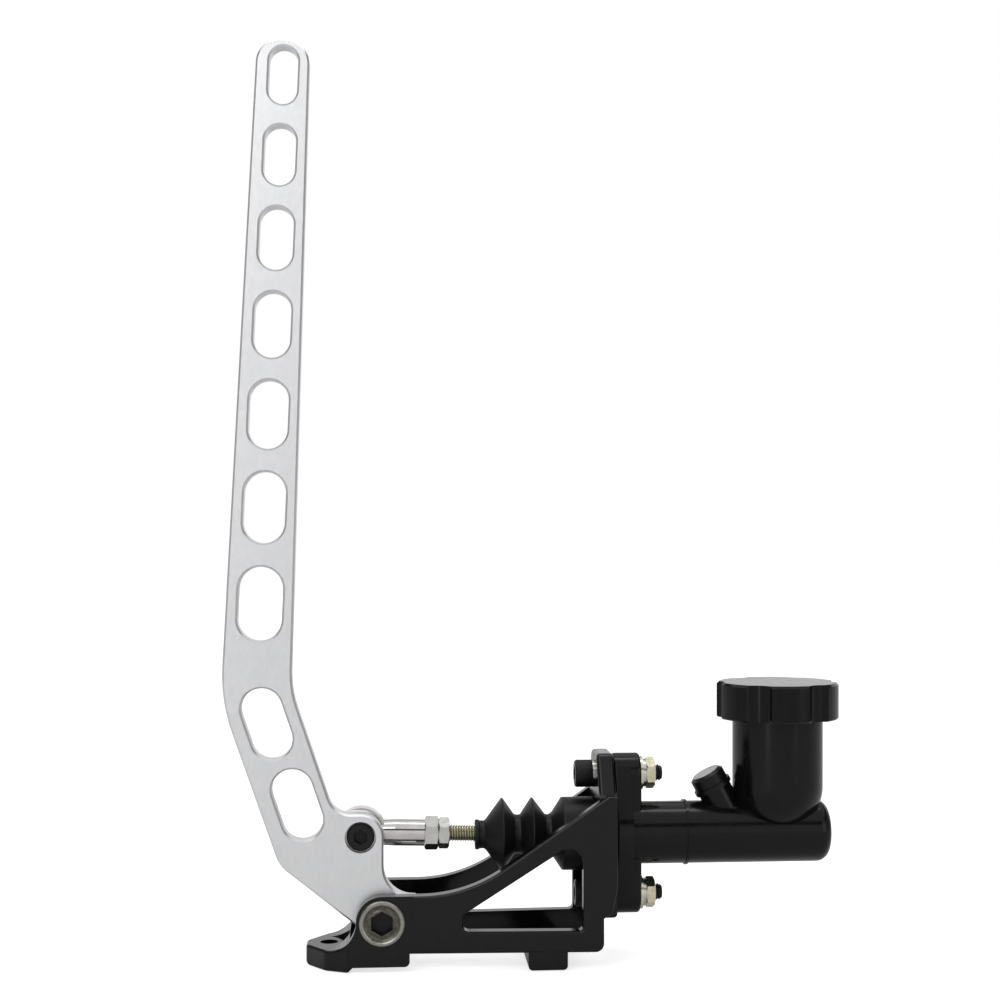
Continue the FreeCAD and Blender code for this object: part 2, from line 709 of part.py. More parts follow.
def make_pivot():
    """The pivot: a shouldered bolt through both cheeks, the lever's bush and its washers."""
    rim = "pivot_rim"
    head_y = "-(boss_half + pivot_head_thick)"
    inner = "boss_half - cheek"
    end = "2 * boss_half + pivot_head_thick + washer_thick + pivot_nut_thick + 2"
    blank = turned("pivot_blank", [
        ("0", "0"), ("pivot_head_radius - " + rim, "0"), ("pivot_head_radius", rim),
        ("pivot_head_radius", "pivot_head_thick"), ("pivot_neck_radius", "pivot_head_thick"),
        ("pivot_neck_radius", "pivot_head_thick + cheek"), ("pivot_radius", "pivot_head_thick + cheek"),
        ("pivot_radius", end + " - " + rim), ("pivot_radius - " + rim, end), ("0", end)],
        ("pivot_along", head_y, "pivot_height"), ACROSS)
    socket = prism("pivot_socket", "socket_flats", "socket_depth", ("pivot_along", head_y, "pivot_height"),
                   ACROSS.multiply(Rotation(Vector(0, 0, 1), 30)))
    sink = turned("pivot_sink", [
        ("0", "-clear_cut"), ("socket_flats * 0.7", "-clear_cut"), ("socket_flats / 2", "sink_depth"),
        ("0", "sink_depth")], ("pivot_along", head_y, "pivot_height"), ACROSS)
    keep("pivot_bolt", cut("pivot_bolt_cut", blank, joined("pivot_recess", [socket, sink])))
    keep("pivot_washer", ring(
        "pivot_washer_ring", "pivot_radius + washer_gap", "pivot_washer_radius", "washer_thick",
        ("pivot_along", "boss_half", "pivot_height"), ACROSS))
    keep("pivot_nut", nut("pivot_nut_hex", "pivot_nut_flats", "pivot_nut_thick", "pivot_radius",
                          ("pivot_along", "boss_half + washer_thick", "pivot_height"), ACROSS))
    keep("pivot_bush", ring("pivot_bush_ring", "pivot_radius + running_gap", "bush_radius", "lever_thick",
                            ("pivot_along", "-(rod_half + lever_thick)", "pivot_height"), ACROSS))
    near = ring("thrust_washer_near", "pivot_radius + running_gap", "thrust_radius", "thrust_thick",
                ("pivot_along", "-(rod_half + lever_thick + thrust_thick)", "pivot_height"), ACROSS)
    far = ring("thrust_washer_far", "pivot_radius + running_gap", "thrust_radius", "thrust_thick",
               ("pivot_along", "-rod_half", "pivot_height"), ACROSS)
    keep("thrust_washers", group("thrust_washer_pair", [near, far]))
    start = "-(rod_half - thrust_thick - spacer_gap)"
    keep("pivot_spacer", ring("pivot_spacer_tube", "pivot_radius + running_gap", "spacer_radius",
                              "%s + rod_half - thrust_thick - spacer_gap" % inner,
                              ("pivot_along", start, "pivot_height"), ACROSS))


def make_rod_end():
    """The bolt through the lever, the rod end that it holds, and the push rod."""
    pin_x, _, pin_z = PIN
    seat = "-(rod_half + lever_thick - counterbore_depth)"
    tail = "rod_half + washer_thick + nut_thick + 1.5 + (rod_half + lever_thick - counterbore_depth)"
    keep("rod_pin_bolt", cap_screw("rod_pin", "bolt_head_radius", "pin_head_thick", tail, "bolt_socket_flats",
                                   "pin_socket_depth", (pin_x, seat, pin_z), ACROSS))
    ball = doc.addObject("Part::Sphere", "ball")
    ball.setExpression("Radius", "sizes.ball_radius")
    place(ball, PIN)
    width = drum("ball_width", "ball_radius + 1", "2 * rod_half", (pin_x, "-rod_half", pin_z), ACROSS)
    hole = drum("ball_hole", "bolt_radius + running_gap", "2 * rod_half + 2",
                (pin_x, "-rod_half - 1", pin_z), ACROSS)
    keep("rod_end_ball", cut("ball_bored", common("ball_trimmed", ball, width), hole))
    keep("rod_pin_washer", ring(
        "rod_pin_washer_ring", "bolt_radius + washer_gap", "washer_radius", "washer_thick",
        (pin_x, "rod_half", pin_z), ACROSS))
    keep("rod_pin_nut", nut("rod_pin_nut_hex", "nut_flats", "nut_thick", "bolt_radius",
                            (pin_x, "rod_half + washer_thick", pin_z), ACROSS))
    eye = drum("eye", "eye_radius", "eye_width", (pin_x, "-eye_width / 2", pin_z), ACROSS)
    shank = turned("shank", [
        ("0", "eye_radius - neck_half"), ("eye_width / 2 + neck_flare", "eye_radius - neck_half"),
        ("shank_radius", "eye_radius + neck_half"), ("shank_radius", "shank_end"),
        ("0", "shank_end")], PIN, ROD)
    lean = math.radians(rod_lean)

    def along_rod(reach):
        """The place on the push rod's axis at a distance from the pin."""
        return ("%s + (%s) * %.6f" % (pin_x, reach, math.cos(lean)), "0",
                "%s - (%s) * %.6f" % (pin_z, reach, math.sin(lean)))
    hex_at = along_rod("shank_end")
    collar = nut("rod_hex", "rod_hex_flats", "rod_hex_end - shank_end", "1", hex_at, ROD)
    body = joined("rod_end_blank", [eye, shank, collar])
    race = doc.addObject("Part::Sphere", "race")
    race.setExpression("Radius", "sizes.ball_radius + sizes.running_gap")
    place(race, PIN)
    mouth = "eye_radius + rod_mouth"
    thread = drum("rod_thread", "bolt_radius", "rod_hex_end", along_rod(mouth), ROD)
    keep("rod_end_body", cut("rod_end_cut", body, joined("rod_end_drills", [race, thread])))
    keep("jam_nut", nut("jam_nut_hex", "nut_flats", "jam_nut_thick", "bolt_radius",
                        along_rod("rod_hex_end"), ROD))
    length = "(nose_along - pivot_along + pin_back) / %.6f" % math.cos(lean)
    collar_start = length + " - rod_nose - rod_collar"
    keep("push_rod", turned("push_rod_bar", [
        ("0", mouth + " + 1"), ("bolt_radius", mouth + " + 1"), ("bolt_radius", collar_start + " - 0.2"),
        ("rod_collar_radius", collar_start), ("rod_collar_radius", length + " - rod_nose"),
        ("rod_collar_radius - rod_nose + 0.4", length + " - 0.4"), ("nose_tip", length),
        ("0", length)], PIN, ROD))


def make_cylinder():
    """The master cylinder: barrel, bolting flange, reservoir and outlet port in one casting."""
    at = ("snout_front", "0", "axis_height")
    depth = "(seat_along + seat_thick + delivery_room - snout_front)"
    length = depth + " + end_wall"
    barrel = turned("barrel", [
        ("0", "0"), ("snout_radius", "0"), ("snout_radius", "plate_back - snout_front + 1"),
        ("barrel_radius", "plate_back - snout_front + 1"),
        ("barrel_radius", "bead_along - snout_front"), ("bead_radius", "bead_along - snout_front"),
        ("bead_radius", "bead_along - snout_front + bead_width"),
        ("barrel_radius", "bead_along - snout_front + bead_width"),
        ("barrel_radius", length), ("0", length)])
    spin = barrel.Tip
    rim = [index for index, edge in enumerate(spin.Shape.Edges, 1)
           if abs(edge.BoundBox.ZMin - number(length)) < 0.01]
    end = barrel.newObject("PartDesign::Fillet", "barrel_end_round")
    end.Base = (spin, ["Edge%d" % index for index in rim])
    end.setExpression("Radius", "sizes.barrel_round")
    barrel.Tip = end
    place(barrel, at, ALONG)
    tip = "flange_side * bolt_half / (flange_side - flange_end)"
    side = "flange_side / sqrt(1 - ((flange_side - flange_end) / bolt_half) ^ 2)"
    diamond = [(side, "0"), ("0", tip), ("-(%s)" % side, "0"), ("0", "-(%s)" % tip)]
    flange = slab("flange", "YZ_Plane", diamond, "flange_thin", "plate_back", symmetric=False)
    lengthwise = Vector(1, 0, 0)
    round_corners(flange, [spot("0", side, "0"), spot("0", "-(%s)" % side, "0")], lengthwise, "flange_side")
    round_corners(flange, [spot("0", "0", tip), spot("0", "0", "-(%s)" % tip)], lengthwise, "flange_end")
    place(flange, ("0", "0", "axis_height"))
    pieces = [barrel, flange]
    for end_name, sign in (("lower", "-"), ("upper", "+")):
        pieces.append(drum("flange_boss_" + end_name, "flange_end", "flange_thick",
                           ("plate_back", "0", "axis_height %s bolt_half" % sign), ALONG))
    pieces.append(block("flange_web", "flange_thick", "2 * flange_end", "2 * bolt_half",
                        ("plate_back", "-flange_end", "axis_height - bolt_half")))
    pieces.append(drum("reservoir", "reservoir_radius", "reservoir_top - reservoir_bottom",
                       ("reservoir_along", "0", "reservoir_bottom")))
    bowl = doc.addObject("Part::Sphere", "reservoir_bowl")
    bowl.setExpression("Radius", "sizes.reservoir_radius")
    pieces.append(place(bowl, ("reservoir_along", "0", "reservoir_bottom")))
    pieces.append(drum("reservoir_neck", "neck_radius", "neck_top - reservoir_top + 1",
                       ("reservoir_along", "0", "reservoir_top - 1")))
    pieces.append(drum("port_boss", "port_radius", "port_reach", ("port_along", "0", "axis_height"), PORT))
    casting = joined("cylinder_casting", pieces)
    doc.recompute()
    solid = casting.Shape
    edges = []
    for index, edge in enumerate(solid.Edges, 1):
        box = edge.BoundBox
        on_rim = any(abs(box.XMin - number(x)) < 0.01 for x in ("plate_back", "plate_back + flange_thick"))
        beyond = max(box.ZMax - number("axis_height"), number("axis_height") - box.ZMin)
        if box.XLength < 0.01 and on_rim and beyond > number("barrel_radius + 1"):
            edges.append(index)
    soft = softened("cylinder_soft", casting, edges, "flange_end - washer_radius")
    groove = "bore_radius + ring_depth"
    groove_end = "ring_start + ring_thick + 2 * ring_play"
    bore = turned("main_bore", [
        ("0", "-1"), ("bore_radius", "-1"), ("bore_radius", "ring_start"), (groove, "ring_start"),
        (groove, groove_end), ("bore_radius", groove_end), ("bore_radius", depth),
        ("0", depth + " + bore_cone")], at, ALONG)
    drills = [bore,
              drum("reservoir_hollow", "reservoir_radius - reservoir_wall", "neck_top - reservoir_floor + 1",
                   ("reservoir_along", "0", "reservoir_floor")),
              drum("feed_hole", "feed_radius", "reservoir_floor - axis_height + 1",
                   ("reservoir_along + feed_offset", "0", "axis_height"))]
    mouth = "(port_reach - port_bore_depth)"
    mouth_at = ("port_along - %s * sin(port_lean)" % mouth, "0", "axis_height + %s * cos(port_lean)" % mouth)
    drills.append(drum("port_bore", "port_bore", "port_bore_depth + 1", mouth_at, PORT))
    drills.append(drum("port_hole", "port_hole", "port_reach", ("port_along", "0", "axis_height"), PORT))
    for end_name, sign in (("lower", "-"), ("upper", "+")):
        drills.append(drum("flange_hole_" + end_name, "flange_hole", "flange_thick + 2",
                           ("plate_back - 1", "0", "axis_height %s bolt_half" % sign), ALONG))
    keep("master_cylinder_body", cut("cylinder_cut", soft, joined("cylinder_drills", drills)))


def make_plug():
    """The transit plug in the outlet port, with a ridged head."""
    at = ("port_along - port_reach * sin(port_lean)", "0", "axis_height + port_reach * cos(port_lean)")
    plug_foot = "-(port_bore_depth - 2)"
    blank = turned("plug_blank", [
        ("0", plug_foot), ("port_bore - plug_taper", plug_foot),
        ("port_bore", "-plug_land"), ("port_bore", "0"),
        ("plug_collar", "0"), ("plug_collar", "plug_collar_thick"), ("plug_head", "plug_collar_thick"),
        ("plug_head", "plug_thick - plug_bevel"), ("plug_face", "plug_thick"), ("0", "plug_thick")], at, PORT)
    keep("outlet_plug", blank)


def make_cap():
    """The screw cap with finger scallops, and the rubber diaphragm under it."""
    at = ("reservoir_along", "0", "cap_bottom")
    height = "cap_top - cap_bottom"
    inner = "neck_radius + cap_gap"
    blank = turned("cap_blank", [
        (inner, "0"), ("cap_radius - cap_edge", "0"), ("cap_radius", "cap_edge"),
        ("cap_radius", height + " - 2 * cap_edge"), ("cap_radius - 2 * cap_edge", height), ("0", height),
        ("0", height + " - cap_roof"), (inner, height + " - cap_roof")], at, UPRIGHT)
    cutters = []
    for i in range(int(number("scallops"))):
        turn = "(360 * (%d + 0.5) / scallops - 90)" % i
        along = "reservoir_along + scallop_centre * cos(%s)" % turn
        aside = "scallop_centre * sin(%s)" % turn
        cutters.append(drum("scallop_%d" % i, "scallop_radius", height + " + 2",
                            (along, aside, "cap_bottom - 1")))
    keep("reservoir_cap", cut("cap_cut", blank, joined("cap_scallops", cutters)))
    roof = "cap_top - cap_roof - 0.2 - diaphragm_thick"
    lip = "neck_radius - soft_gap"
    wall = "neck_radius - reservoir_wall - 1"
    slope = "diaphragm_slope"
    keep("cap_diaphragm", turned("diaphragm", [
        ("0", "-diaphragm_sag"), ("%s - %s" % (wall, slope), "-diaphragm_sag"), (wall, "0"), (lip, "0"),
        (lip, "diaphragm_thick"), (wall + " - 1", "diaphragm_thick"),
        ("%s - 1 - %s" % (wall, slope), "diaphragm_thick - diaphragm_sag"),
        ("0", "diaphragm_thick - diaphragm_sag")],
        ("reservoir_along", "0", roof), UPRIGHT))


def make_boot():
    """The rubber bellows over the end of the cylinder, which closes on the push rod."""
    first = "boot_first_peak - boot_front"
    neck_end = "boot_neck_end - boot_front"
    rear_end = "plate_front - boot_front - soft_gap"
    snout_skin = "snout_radius + boot_fit"
    inner_peak = "boot_radius - 1.3 * boot_wall"
    inner_valley = "boot_valley - boot_wall"
    ridges = [("boot_neck_hole", "0"), ("boot_neck_radius", "0"), ("boot_neck_radius", neck_end),
              ("boot_radius", first), ("boot_valley", first + " + 6"), ("boot_valley", first + " + 9"),
              ("boot_radius", first + " + boot_pitch"), ("boot_valley", first + " + boot_pitch + 6.5"),
              ("boot_valley", first + " + boot_pitch + 9"), ("boot_radius", "boot_step - boot_front"),
              ("boot_radius", rear_end)]
    inside = [(snout_skin, rear_end), (snout_skin, "boot_step - boot_front + 2"),
              (inner_valley, first + " + boot_pitch + 9.3"), (inner_valley, first + " + boot_pitch + 6.2"),
              (inner_peak, first + " + boot_pitch"), (inner_valley, first + " + 9.3"),
              (inner_valley, first + " + 5.7"), (inner_peak, first),
              ("boot_neck_hole", neck_end + " + boot_wall")]
    keep("boot", turned("boot_bellows", ridges + inside, ("boot_front", "0", "axis_height"), ALONG))


def make_flange_fixings():
    """Two cap screws through the plate and flange, with their washers and nuts."""
    head_at = "plate_front - head_washer"
    back = "plate_back + flange_thick"
    length = ("head_washer + plate_back - plate_front + flange_thick + thin_washer + spring_washer"
              " + flange_nut_thick + thread_stand")
    kinds = ("flange_bolts", "flange_head_washers", "flange_washers", "flange_spring_washers", "flange_nuts")
    fixings = {kind: [] for kind in kinds}
    for end_name, sign in (("lower", "-"), ("upper", "+")):
        height = "axis_height %s bolt_half" % sign
        fixings["flange_bolts"].append(cap_screw(
            "flange_bolt_" + end_name, "bolt_head_radius", "flange_head_thick - head_washer", length,
            "bolt_socket_flats", "flange_socket_depth", (head_at, "0", height), ALONG))
        for name, inner, outer, thick, x in (
                ("flange_head_washers", "bolt_radius + 0.1", "bolt_head_radius", "head_washer", head_at),
                ("flange_washers", "bolt_radius + washer_gap", "washer_radius", "thin_washer", back),
                ("flange_spring_washers", "bolt_radius + 0.15", "bolt_head_radius + 0.2", "spring_washer",
                 back + " + thin_washer")):
            fixings[name].append(ring(name + "_" + end_name, inner, outer, thick, (x, "0", height), ALONG))
        fixings["flange_nuts"].append(nut(
            "flange_nut_" + end_name, "nut_flats", "flange_nut_thick", "bolt_radius",
            (back + " + thin_washer + spring_washer", "0", height), ALONG))
    for name, pieces in fixings.items():
        keep(name, group(name + "_pair", pieces))


def make_piston():
    """What the barrel holds: retaining ring, piston and seals, return spring and inlet valve."""
    def on_axis(x):
        return (x, "0", "axis_height")
    ring_at = "snout_front + ring_start + ring_play"
    keep("snap_ring", ring(
        "snap_ring_ring", "bore_radius - ring_width", "bore_radius + ring_depth - seat_play", "ring_thick",
        on_axis(ring_at), ALONG))
    keep("rod_retainer", ring(
        "rod_retainer_ring", "retainer_hole", "bore_radius - seat_play", "retainer_thick",
        on_axis(ring_at + " + ring_thick"), ALONG))
    rear = "nose_along + nose_gap - recess_depth"
    land = "bore_radius - running_gap"
    seal_end = "rear_land + seal_width"
    waist_end = "piston_length - front_land"
    cup_end = "piston_length - piston_lip"
    cup_start = cup_end + " - seal_width"
    blank = turned("piston_blank", [
        ("0", "recess_depth"), ("recess_radius", "recess_depth"), ("recess_radius", "0"), (land, "0"),
        (land, "rear_land"), ("seal_floor", "rear_land"), ("seal_floor", seal_end), (land, seal_end),
        (land, seal_end + " + 3"), ("piston_waist", seal_end + " + 4"), ("piston_waist", waist_end + " - 1"),
        (land, waist_end), (land, cup_start), ("seal_floor", cup_start), ("seal_floor", cup_end),
        (land + " - 1.2", cup_end), (land + " - 1.2", "piston_length"), ("spigot_radius", "piston_length"),
        ("spigot_radius", "piston_length + spigot_length"), ("stem_hole", "piston_length + spigot_length"),
        ("stem_hole", "recess_depth + 5"), ("0", "recess_depth + 4")], on_axis(rear), ALONG)
    keep("piston", blank)
    seal_length = "seal_width - 2 * land_gap"
    seal_skin = land + " - 0.02"
    keep("secondary_seal", ring("secondary_seal_ring", "seal_floor", seal_skin, seal_length,
                                on_axis(rear + " + rear_land + land_gap"), ALONG))
    keep("primary_cup", turned("primary_cup_ring", [
        ("seal_floor", "0"), (seal_skin, "0"), (seal_skin, seal_length), (land + " - lip_thick", seal_length),
        ("(%s + seal_floor) / 2" % land, "2 * lip_thick"), ("seal_floor + lip_thick", seal_length),
        ("seal_floor", seal_length)], on_axis(rear + " + " + cup_start + " + land_gap"), ALONG))
    cup_bore = "spigot_radius + running_gap"
    cup_skin = "spigot_radius + 1.2"
    rim = land + " - 0.8"
    keep("spring_retainer", turned("spring_retainer_cup", [
        (cup_bore, "0"), (rim, "0"), (rim, "cup_sheet"), (cup_skin, "cup_sheet"), (cup_skin, "cup_height"),
        ("stem_hole", "cup_height"), ("stem_hole", "cup_height - cup_sheet"),
        (cup_bore, "cup_height - cup_sheet")], on_axis(rear + " + piston_length"), ALONG))
    start = rear + " + piston_length + cup_sheet + spring_wire + seat_play"
    spiral = doc.addObject("Part::Helix", "spring_line")
    spiral.SegmentLength = 1
    spiral.setExpression("Radius", "sizes.spring_radius")
    spring_length = "seat_along - (%s) - spring_wire - seat_play" % start
    spiral.setExpression("Height", bound(spring_length))
    spiral.setExpression("Pitch", bound("(%s) / spring_turns" % spring_length))
    wire = doc.addObject("Part::Circle", "spring_section")
    wire.setExpression("Radius", "sizes.spring_wire")
    wire.Placement = Placement(Vector(number("spring_radius"), 0, 0), Rotation(Vector(1, 0, 0), 90))
    wire.setExpression("Placement.Base.x", "sizes.spring_radius")
    spring = doc.addObject("Part::Sweep", "spring_coil")
    spring.Sections = [wire]
    spring.Spine = (spiral, ["Edge%d" % (i + 1) for i in range(int(number("spring_turns")))])
    spring.Solid = True
    spring.Frenet = True
    place(spring, on_axis(start), ALONG)
    keep("return_spring", spring)
    keep("valve_seat", ring("valve_seat_ring", "stem_radius + 1", "seat_radius", "seat_thick",
                            on_axis("seat_along"), ALONG))
    stem_start = rear + " + piston_length + spigot_length - 2"
    stem_length = "seat_along + seat_thick - (%s)" % stem_start
    valve_end = stem_length + " + valve_thick"
    keep("inlet_valve", turned("inlet_valve_stem", [
        ("0", "0"), ("stem_radius", "0"), ("stem_radius", stem_length), ("valve_radius", stem_length),
        ("valve_radius", valve_end), ("0", valve_end)], on_axis(stem_start), ALONG))


make_frame()
make_lever()
make_pivot()
make_rod_end()
make_cylinder()
make_plug()
make_cap()
make_boot()
make_flange_fixings()
make_piston()

doc.recompute()
faults = [feature.Name for feature in doc.Objects if set(feature.State) & {"Invalid", "Error"}]
for name, feature in parts.items():
    if feature.Shape.isNull() or not feature.Shape.isValid() or not feature.Shape.Solids:
        faults.append(name)
if faults:
    raise SystemExit("not sound: " + ", ".join(faults))

os.makedirs("parts", exist_ok=True)
for name, feature in parts.items():
    feature.Shape.exportStep("parts/%s.step" % name)
    box = feature.Shape.BoundBox
    print("%-22s %2d solids  X %6.1f %6.1f  Y %6.1f %6.1f  Z %6.1f %6.1f" % (
        name, len(feature.Shape.Solids), box.XMin, box.XMax, box.YMin, box.YMax, box.ZMin, box.ZMax))
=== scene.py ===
import math

import bpy
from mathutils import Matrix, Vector


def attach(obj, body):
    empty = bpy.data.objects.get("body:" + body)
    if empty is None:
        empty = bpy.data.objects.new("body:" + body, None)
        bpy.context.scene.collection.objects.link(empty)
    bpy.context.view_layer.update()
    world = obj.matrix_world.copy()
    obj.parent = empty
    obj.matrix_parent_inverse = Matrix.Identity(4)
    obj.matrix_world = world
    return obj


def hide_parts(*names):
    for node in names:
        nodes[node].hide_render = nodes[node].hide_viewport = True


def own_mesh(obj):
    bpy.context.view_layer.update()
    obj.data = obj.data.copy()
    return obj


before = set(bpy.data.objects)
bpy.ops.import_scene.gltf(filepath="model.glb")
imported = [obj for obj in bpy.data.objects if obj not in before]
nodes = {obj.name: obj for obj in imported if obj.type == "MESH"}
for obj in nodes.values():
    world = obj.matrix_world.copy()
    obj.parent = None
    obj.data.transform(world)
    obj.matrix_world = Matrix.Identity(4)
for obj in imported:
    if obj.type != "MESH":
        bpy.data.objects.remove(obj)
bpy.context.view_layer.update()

MM = 0.001


# Colours and node trees

def colour(text):
    """An sRGB hex value as the linear colour that a shader wants."""
    parts = [int(text[i:i + 2], 16) / 255 for i in (1, 3, 5)]
    return [p / 12.92 if p <= 0.04045 else ((p + 0.055) / 1.055) ** 2.4 for p in parts] + [1.0]


def add(tree, kind, settings=None, values=None, links=None):
    """Add a node, set its properties and its inputs, and link inputs to other nodes' outputs."""
    node = tree.nodes.new(kind)
    for key, value in (settings or {}).items():
        setattr(node, key, value)
    for key, value in (values or {}).items():
        node.inputs[key].default_value = value
    for key, source in (links or {}).items():
        tree.links.new(source, node.inputs[key])
    return node


def new_tree(name):
    """A new material and its node tree, emptied."""
    material = bpy.data.materials.new(name)
    material.use_nodes = True
    material.node_tree.nodes.clear()
    return material, material.node_tree


def surface(name, low, high, metallic, rough, spread, grain,
            stretch=(1, 1, 1), depth=0.0, bump_grain=None, shine=0.5):
    """A finish with a mottled colour and roughness and a fine relief.

    grain, depth and bump_grain are in millimetres.
    """
    material, tree = new_tree(name)
    place = add(tree, "ShaderNodeTexCoord")
    mapping = add(tree, "ShaderNodeMapping", values={"Scale": stretch},
                  links={"Vector": place.outputs["Object"]})
    cloud = add(tree, "ShaderNodeTexNoise",
                values={"Scale": 1 / (grain * MM), "Detail": 4.0, "Roughness": 0.6},
                links={"Vector": mapping.outputs["Vector"]})
    ramp = add(tree, "ShaderNodeValToRGB", links={"Fac": cloud.outputs["Fac"]})
    ramp.color_ramp.elements[0].position = 0.35
    ramp.color_ramp.elements[0].color = colour(low)
    ramp.color_ramp.elements[1].position = 0.65
    ramp.color_ramp.elements[1].color = colour(high)
    limits = {"From Min": 0.3, "From Max": 0.7, "To Min": rough - spread, "To Max": rough + spread}
    roughness = add(tree, "ShaderNodeMapRange", values=limits, links={"Value": cloud.outputs["Fac"]})
    links = {"Base Color": ramp.outputs["Color"], "Roughness": roughness.outputs["Result"]}
    if depth:
        fine = add(tree, "ShaderNodeTexNoise",
                   values={"Scale": 1 / ((bump_grain or grain) * MM), "Detail": 3.0, "Roughness": 0.55},
                   links={"Vector": mapping.outputs["Vector"]})
        relief = add(tree, "ShaderNodeBump", values={"Strength": 0.5, "Distance": depth * MM},
                     links={"Height": fine.outputs["Fac"]})
        links["Normal"] = relief.outputs["Normal"]
    shader = add(tree, "ShaderNodeBsdfPrincipled",
                 values={"Metallic": metallic, "Specular IOR Level": shine}, links=links)
    add(tree, "ShaderNodeOutputMaterial", links={"Surface": shader.outputs["BSDF"]})
    return material


# Clear-anodised aluminium plate, bead-blasted before the bath: an even pale grey with a soft sheen.
satin_anodised = surface("satin anodised aluminium", "#D3D4D5", "#D8D8D9", metallic=0.88, rough=0.32,
                         spread=0.03, grain=2.0, stretch=(1, 1, 0.5), depth=0.012, bump_grain=0.3)
# Cast alloy under a satin black stove coat: dark, with soft highlights and a faint casting grain.
black_casting = surface("black coated casting", "#070708", "#0B0B0C", metallic=0.0, rough=0.18,
                        spread=0.04, grain=4.0, depth=0.012, bump_grain=1.4, shine=0.26)
# The same coat on the turned and finer cast cylinder: a little less shiny.
black_cylinder = surface("black coated cylinder", "#070708", "#0B0B0C", metallic=0.0, rough=0.19,
                         spread=0.04, grain=3.0, depth=0.01, bump_grain=1.2, shine=0.2)
# Gloss black phenolic moulding: deep black with a clear reflection.
gloss_moulding = surface("gloss black moulding", "#060607", "#09090A", metallic=0.0, rough=0.17,
                         spread=0.03, grain=4.0, shine=0.18)
# Satin black moulding of the transit plug: dark, with a broad soft highlight.
black_moulding = surface("satin black moulding", "#09090A", "#0F0F10", metallic=0.0, rough=0.35,
                         spread=0.05, grain=2.0, shine=0.2)
# Moulded rubber: matt and slightly grey where it is dusty.
black_rubber = surface("moulded black rubber", "#070707", "#0E0E0E", metallic=0.0, rough=0.42,
                       spread=0.07, grain=1.2, depth=0.03, bump_grain=0.4, shine=0.2)
# Black oxide on steel: near black with an oily sheen.
black_oxide = surface("black oxide steel", "#121213", "#1C1C1E", metallic=0.3, rough=0.36,
                      spread=0.05, grain=1.0, depth=0.01, bump_grain=0.3, shine=0.25)
# Yellow-passivated zinc on steel: warm, bright metal.
yellow_zinc = surface("yellow zinc steel", "#C6C1A4", "#D8D3BA", metallic=1.0, rough=0.24,
                      spread=0.05, grain=3.0, depth=0.004, bump_grain=0.8)
# Clear zinc on steel: cooler than the yellow one.
clear_zinc = surface("clear zinc steel", "#B8B8B4", "#C6C6C2", metallic=1.0, rough=0.22,
                     spread=0.05, grain=3.0, depth=0.004, bump_grain=0.8)
# Olive zinc of the large pivot bolt: dark and dull.
olive_zinc = surface("olive zinc steel", "#46453C", "#605E55", metallic=0.9, rough=0.36,
                     spread=0.06, grain=1.2, depth=0.02, bump_grain=0.3)
# The turned rim of that bolt, painted a paler dull grey as a highlight.
rim_highlight_zinc = surface("zinc steel with painted rim highlight", "#86857E", "#9A9992", metallic=0.95, rough=0.3,
                    spread=0.05, grain=1.5, depth=0.01, bump_grain=0.4)
# Painted shade in the roots of the push rod's thread: darker than the ridge, as the roots lie in shade.
thread_root_shade = surface("painted shade in thread roots", "#555348", "#69675A", metallic=0.8, rough=0.4,
                     spread=0.06, grain=0.8)
# Chrome on the rod end: a mirror with slight waviness.
chrome = surface("chromed steel", "#BCBAB7", "#C8C7C5", metallic=1.0, rough=0.08,
                 spread=0.03, grain=6.0)
# Turned steel: grey, with a fine unevenness of its shine.
turned_steel = surface("turned steel", "#8D8E90", "#A8A9AA", metallic=1.0, rough=0.32,
                       spread=0.05, grain=0.8)
# Sintered bronze: brown-yellow, mottled by its pores.
bronze = surface("sintered bronze", "#8A6A3A", "#A98650", metallic=0.9, rough=0.45,
                 spread=0.08, grain=0.5)
# Natural nylon: milky and matt.
nylon = surface("natural nylon", "#CFCDC2", "#DAD8CE", metallic=0.0, rough=0.5,
                spread=0.05, grain=1.5)
# Grey polyethylene on the transit plug's face: pale and matt.
grey_plug = surface("grey polyethylene", "#989999", "#A8A9AA", metallic=0.0, rough=0.45,
                    spread=0.05, grain=1.5)
# Hard-anodised alloy: olive grey and dull.
hard_anodised = surface("hard anodised aluminium", "#6B675A", "#7A7668", metallic=0.7, rough=0.4,
                        spread=0.05, grain=1.2)

FINISHES = {
    "lever": satin_anodised,
    "frame": black_casting,
    "master_cylinder_body": black_cylinder,
    "reservoir_cap": gloss_moulding,
    "boot": black_rubber,
    "cap_diaphragm": black_rubber,
    "primary_cup": black_rubber,
    "secondary_seal": black_rubber,
    "rod_pin_bolt": black_oxide,
    "flange_bolts": black_oxide,
    "flange_head_washers": clear_zinc,
    "snap_ring": black_oxide,
    "flange_nuts": yellow_zinc,
    "flange_washers": yellow_zinc,
    "flange_spring_washers": clear_zinc,
    "jam_nut": clear_zinc,
    "rod_pin_nut": clear_zinc,
    "rod_pin_washer": clear_zinc,
    "rod_retainer": clear_zinc,
    "pivot_nut": clear_zinc,
    "pivot_washer": clear_zinc,
    "pivot_bolt": olive_zinc,
    "push_rod": yellow_zinc,
    "rod_end_body": chrome,
    "rod_end_ball": chrome,
    "pivot_spacer": turned_steel,
    "spring_retainer": turned_steel,
    "inlet_valve": turned_steel,
    "return_spring": turned_steel,
    "pivot_bush": bronze,
    "thrust_washers": nylon,
    "outlet_plug": black_moulding,
    "piston": hard_anodised,
    "valve_seat": hard_anodised,
}


def paint(thing, material):
    """Give a piece one finish all over."""
    thing.data.materials.clear()
    thing.data.materials.append(material)


for name, material in FINISHES.items():
    paint(nodes[name], material)


# Ways to model a piece

def pick(thing):
    """Make one object the only selected and active one."""
    bpy.ops.object.select_all(action="DESELECT")
    thing.select_set(True)
    bpy.context.view_layer.objects.active = thing


